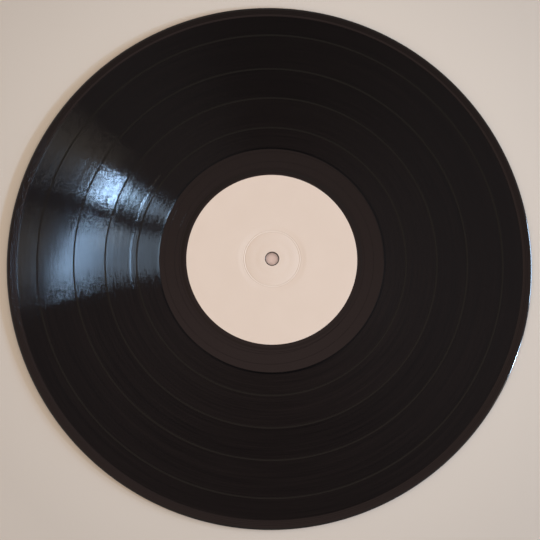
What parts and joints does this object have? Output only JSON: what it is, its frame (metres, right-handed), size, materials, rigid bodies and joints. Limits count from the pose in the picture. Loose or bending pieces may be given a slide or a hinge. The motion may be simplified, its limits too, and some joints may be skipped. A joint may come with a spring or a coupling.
{
  "type": "vinyl record",
  "caption": "Twelve-inch black vinyl record with plain cream paper labels, a spindle hole, raised rim and label area, track bands and a run-out groove.",
  "frame": {"origin": "centre of the disc, on the face of side B's label, which the record rests on", "axes": "+Z along the disc's axis, out of side A; X and Y lie in the plane of the disc, and +Y points to the top of the picture"},
  "size_m": [0.3016, 0.3016, 0.0021],
  "materials": {
    "vinyl": "pressed, mirror-smooth run-out and rim, finely grooved bands",
    "label_paper": "plain uncoated cream paper, moulded flush"
  },
  "bodies": {
    "root": {"vinyl_disc": "vinyl", "label_side_a": "label_paper", "label_side_b": "label_paper"}
  },
  "joints": []
}
